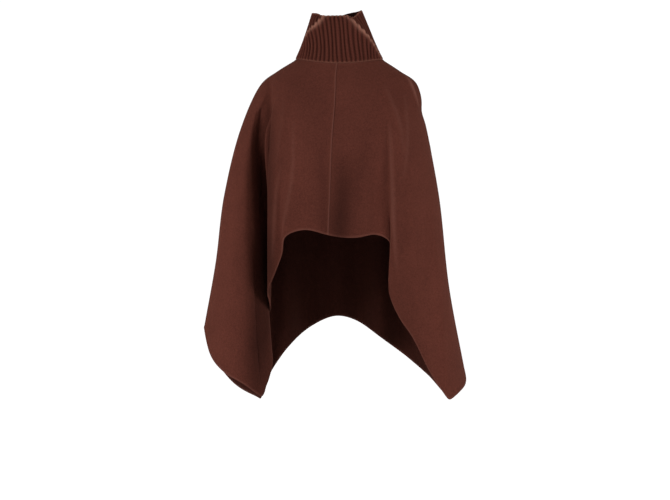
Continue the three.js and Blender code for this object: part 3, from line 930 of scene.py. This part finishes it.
def wool_cloth(settings):
    """Felted wool with a fine nap: mixed browns, painted shade and light, a soft sheen, and pale edges of
    wear and painted highlights.
    """
    material, tree, shader = new_material("wool_cloth")
    place = node(tree, "TexCoord")["Object"]
    stretched = node(tree, "Mapping", {"Vector": place, "Scale": FIBRE_STRETCH})["Vector"]
    fibre = noise(tree, stretched, *FIBRE_NOISE)
    clouds = brought_to(tree, noise(tree, place, *CLOUD_NOISE), UNEVEN)
    felt = brought_to(tree, noise(tree, place, *FELT_NOISE), UNEVEN, FELT_SPAN)
    # Painted shade in the hollows and patches, and painted light where a patch is paler
    sunk = brought_to(tree, laid_shade(tree, "hollow"), HOLLOW_SHADES, HOLLOW_SPAN)
    shade = computed(tree, "MULTIPLY", computed(tree, "MULTIPLY", clouds, felt), sunk)
    colour = shaded_colour(tree, mixed_colour(tree, fibre, settings.colour, CLOTH_MIX), shade)
    fill(tree, shader, {"Base Color": with_wear_and_highlight(tree, colour, settings.wear_and_highlight_colour),
                        "Roughness": brought_to(tree, fibre, CLOTH_ROUGHNESS),
                        "Normal": bumps(tree, fibre, *NAP_BUMP), **wool_surface(settings)})
    return material


def rib_knit(settings):
    """Knit wool: rows of stitches up each rib, with painted shade between the ribs and between the
    stitches.
    """
    material, tree, shader = new_material("rib_knit")
    parts = node(tree, "SeparateXYZ", {"Vector": node(tree, "UVMap", uv_map="cloth")["UV"]})
    in_rib = computed(tree, "FRACT", parts["X"])
    leaning = computed(tree, "ABSOLUTE", computed(tree, "SUBTRACT", in_rib, 0.5))
    stitch_rows = computed(tree, "MULTIPLY", parts["Y"], 1 / settings.stitch_height)
    slanted = computed(tree, "ADD", stitch_rows, computed(tree, "MULTIPLY", leaning, STITCH_SLANT))
    stitch = computed(tree, "SINE", computed(tree, "MULTIPLY", slanted, 2 * math.pi))
    fibre = noise(tree, node(tree, "TexCoord")["Object"], *YARN_NOISE)
    height = computed(tree, "ADD", computed(tree, "MULTIPLY", stitch, STITCH_RELIEF), fibre)
    lifted = computed(tree, "ADD", height, STITCH_RELIEF)
    # The yarn's colour follows its fibres and, as painted shade, the height of the stitches
    showing = computed(tree, "MULTIPLY", lifted, STITCH_CONTRAST)
    yarn = mixed_colour(tree, showing, settings.knit_colour, YARN_MIX)
    # Painted shade from the rib attribute: the grooves, the seam and the inside
    colour = shaded_colour(tree, yarn, brought_to(tree, laid_shade(tree, "rib"), GROOVE_SHADES))
    fill(tree, shader, {"Base Color": with_wear_and_highlight(tree, colour, settings.crease_highlight_and_wear_colour),
                        "Roughness": KNIT_ROUGHNESS,
                        "Normal": bumps(tree, height, *KNIT_BUMP), **wool_surface(settings)})
    return material


def pale_floor(settings):
    """A floor that looks bright to the camera and lights nothing by itself."""
    material, tree, shader = new_material("pale_floor")
    glow = computed(tree, "MULTIPLY", node(tree, "LightPath")["Is Camera Ray"], settings.floor_glow)
    fill(tree, shader, {"Base Color": (*settings.floor_colour, 1), "Emission Color": WHITE,
                        "Emission Strength": glow, "Roughness": FLOOR_ROUGHNESS})
    return material


def pale_surround(settings):
    """Soft light from all round, behind a brighter backdrop that only the camera sees."""
    world = bpy.data.worlds.new("pale_surround")
    world.use_nodes = True
    tree = world.node_tree
    backdrop = {"Color": WHITE, "Strength": settings.backdrop}
    seen = fill(tree, tree.nodes["Background"], backdrop).outputs[0]
    light = node(tree, "Background", {"Color": WHITE, "Strength": settings.surround})[0]
    by_camera = node(tree, "LightPath")["Is Camera Ray"]
    either = node(tree, "MixShader", {0: by_camera, 1: light, 2: seen})[0]
    fill(tree, tree.nodes["World Output"], {"Surface": either})
    return world


# Settings

class ClothSettings(PropertyGroup):
    thickness: FloatProperty(name="Cloth thickness", description="Wall of the felted wool",
                             default=0.0024, min=0.001, max=0.003, unit="LENGTH")
    seam_gap: FloatProperty(name="Seam gap", description="Space between two pieces in a seam",
                            default=0.00044, min=0.0003, max=0.001, unit="LENGTH")
    hem_groove: FloatProperty(name="Hem line depth", description="Depth of the stitched line at the hem",
                              default=0.0004, min=0.0, max=0.001, unit="LENGTH")
    hem_fullness: FloatProperty(name="Hem fullness", description="How much the turned hem stands out",
                                default=0.0004, min=0.0, max=0.001, unit="LENGTH")
    front_columns: IntProperty(name="Front columns", description="Grid across each front half",
                               default=236, min=40, max=260)
    back_columns: IntProperty(name="Back columns", description="Grid across the back",
                              default=262, min=40, max=280)
    rows: IntProperty(name="Rows", description="Grid from the neck seam to the hem",
                      default=178, min=40, max=190)
    colour: FloatVectorProperty(name="Wool", description="Colour of the wool cloth", subtype="COLOR",
                                default=(0.0615, 0.0173, 0.0117), min=0, max=1)
    # Pale colour of the wear at the hem, also of the painted highlights along folds and seams
    wear_and_highlight_colour: FloatVectorProperty(name="Worn edge", description="Colour along the hem's edge",
                                     subtype="COLOR", default=(0.12, 0.045, 0.033), min=0, max=1)
    # Painted highlight along the collar's creases, also the colour of the wear at its seam and rim
    crease_highlight_and_wear_colour: FloatVectorProperty(name="Collar crease", subtype="COLOR",
                                       description="Colour along the collar's creases",
                                       default=(0.30, 0.135, 0.095), min=0, max=1)
    knit_colour: FloatVectorProperty(name="Knit", description="Colour of the rib knit", subtype="COLOR",
                                     default=(0.060, 0.0166, 0.0112), min=0, max=1)
    sheen: FloatProperty(name="Sheen", description="Strength of the nap's soft sheen",
                         default=0.06, min=0, max=1, subtype="FACTOR")
    sheen_colour: FloatVectorProperty(name="Sheen colour", description="Colour of the nap's sheen",
                                      subtype="COLOR", default=(0.85, 0.32, 0.22), min=0, max=1)
    stitch_height: FloatProperty(name="Stitch height", description="Height of one knit stitch",
                                 default=0.0034, min=0.002, max=0.008, unit="LENGTH")


class CollarSettings(PropertyGroup):
    rib_count: IntProperty(name="Ribs", description="Number of ribs round the collar",
                           default=56, min=20, max=90)
    columns_per_rib: IntProperty(name="Columns in a rib", description="Grid across one rib",
                                 default=12, min=4, max=14)
    rows: IntProperty(name="Outer rows", description="Grid up the collar's outer face",
                      default=92, min=20, max=110)
    rib_height: FloatProperty(name="Rib height", description="How far a rib stands over its groove",
                              default=0.0030, min=0.0005, max=0.005, unit="LENGTH")
    inside: FloatProperty(name="Inner wall", description="How far the inside lies under the middle",
                          default=0.0012, min=0.0005, max=0.002, unit="LENGTH")


class StageSettings(PropertyGroup):
    floor_height: FloatProperty(name="Floor height", description="Height of the floor",
                                default=-1.47, unit="LENGTH")
    floor_side: FloatProperty(name="Floor side", description="Side of the square floor",
                              default=40.0, unit="LENGTH")
    floor_colour: FloatVectorProperty(name="Floor", description="Colour of the floor", subtype="COLOR",
                                      default=(0.9, 0.9, 0.9), min=0, max=1)
    floor_glow: FloatProperty(name="Floor glow", description="How bright the floor looks by itself",
                              default=0.8, min=0, max=3)
    backdrop: FloatProperty(name="Backdrop", description="Brightness of the backdrop as it is seen",
                            default=1.05, min=0, max=3)
    surround: FloatProperty(name="Surround", description="Soft light from all round",
                            default=0.3, min=0, max=3)
    key_power: FloatProperty(name="Key light", description="Power of the soft key light",
                             default=95.0, min=0, max=500, unit="POWER")


# Operators

def finished(piece, material, nodes):
    """Gives a piece its material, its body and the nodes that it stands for."""
    piece.data.materials.append(material)
    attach(piece, "root")
    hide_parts(*nodes)


class PONCHO_OT_cloth(Operator):
    """Makes the back and the two front halves of the wool cloth"""

    bl_idname = "poncho.make_cloth"
    bl_label = "Back and front halves"

    def execute(self, context):
        settings = context.scene.poncho_cloth
        cloth = Cloth(settings)
        cloth.press_folds()
        material = wool_cloth(settings)
        right, back, left = [cloth_panel(cloth, number, settings) for number in range(len(PANELS))]
        for piece, cad_node in ((right, "front_right"), (back, "back"), (left, "front_left")):
            finished(piece, material, (cad_node,))
        return {"FINISHED"}


class PONCHO_OT_collar(Operator):
    """Makes the tall ribbed collar"""

    bl_idname = "poncho.make_collar"
    bl_label = "Ribbed collar"

    def execute(self, context):
        collar = ribbed_collar(context.scene.poncho_collar)
        finished(collar, rib_knit(context.scene.poncho_cloth), ("rib_collar",))
        return {"FINISHED"}


# The stage: name, place, side of the square and share of the key light's power for each light
LIGHTS = [
    ("key_light", (-2.0, -2.6, 1.4), 1.5, 0.53),
    ("fill_light", (2.4, -2.4, 1.2), 1.5, 0.3),
    ("left_side_light", (-3.0, -1.5, -0.2), 1.2, 0.65),
    ("right_side_light", (3.0, -1.5, -0.2), 1.2, 0.64),
    ("back_light", (0.0, 3.6, 0.3), 1.5, 0.9),
]
LIGHT_TARGET = Vector((0, 0, -0.35))
CAMERA_PLACE = (-0.0115, -3.5, -0.423)
CAMERA_LENS = 81.8
CAMERA_SENSOR = 36


class PONCHO_OT_stage(Operator):
    """Makes the pale floor, the soft light and the camera"""

    bl_idname = "poncho.make_stage"
    bl_label = "Floor, light and camera"

    def execute(self, context):
        settings = context.scene.poncho_stage
        bpy.ops.object.select_all(action="DESELECT")
        floor_place = (0, 0, settings.floor_height)
        bpy.ops.mesh.primitive_plane_add(size=settings.floor_side, location=floor_place)
        floor = context.object
        floor.name = "floor"
        floor.data.materials.append(pale_floor(settings))
        context.scene.world = pale_surround(settings)
        for name, place, side, power in LIGHTS:
            bpy.ops.object.light_add(type="AREA", location=place)
            light = context.object
            light.name = name
            light.data.shape = "SQUARE"
            light.data.size = side
            light.data.energy = settings.key_power * power
            light.rotation_euler = (LIGHT_TARGET - Vector(place)).to_track_quat("-Z", "Y").to_euler()
        bpy.ops.object.camera_add(location=CAMERA_PLACE, rotation=(math.radians(90), 0, 0))
        camera = context.object
        camera.data.lens = CAMERA_LENS
        camera.data.sensor_width = CAMERA_SENSOR
        context.scene.camera = camera
        context.scene.view_settings.view_transform = "Standard"
        return {"FINISHED"}


class PONCHO_PT_pieces(Panel):
    bl_label = "Wool Poncho"
    bl_space_type = "VIEW_3D"
    bl_region_type = "UI"
    bl_category = "Poncho"

    def draw(self, context):
        for operator in OPERATORS:
            self.layout.operator(operator.bl_idname)


OPERATORS = (PONCHO_OT_cloth, PONCHO_OT_collar, PONCHO_OT_stage)
CLASSES = (ClothSettings, CollarSettings, StageSettings, *OPERATORS, PONCHO_PT_pieces)


def register():
    for made in CLASSES:
        bpy.utils.register_class(made)
    bpy.types.Scene.poncho_cloth = PointerProperty(type=ClothSettings)
    bpy.types.Scene.poncho_collar = PointerProperty(type=CollarSettings)
    bpy.types.Scene.poncho_stage = PointerProperty(type=StageSettings)


def unregister():
    del bpy.types.Scene.poncho_stage
    del bpy.types.Scene.poncho_collar
    del bpy.types.Scene.poncho_cloth
    for made in reversed(CLASSES):
        bpy.utils.unregister_class(made)


def main():
    register()
    bpy.ops.poncho.make_cloth()
    bpy.ops.poncho.make_collar()
    bpy.ops.poncho.make_stage()


if __name__ == "__main__":
    main()
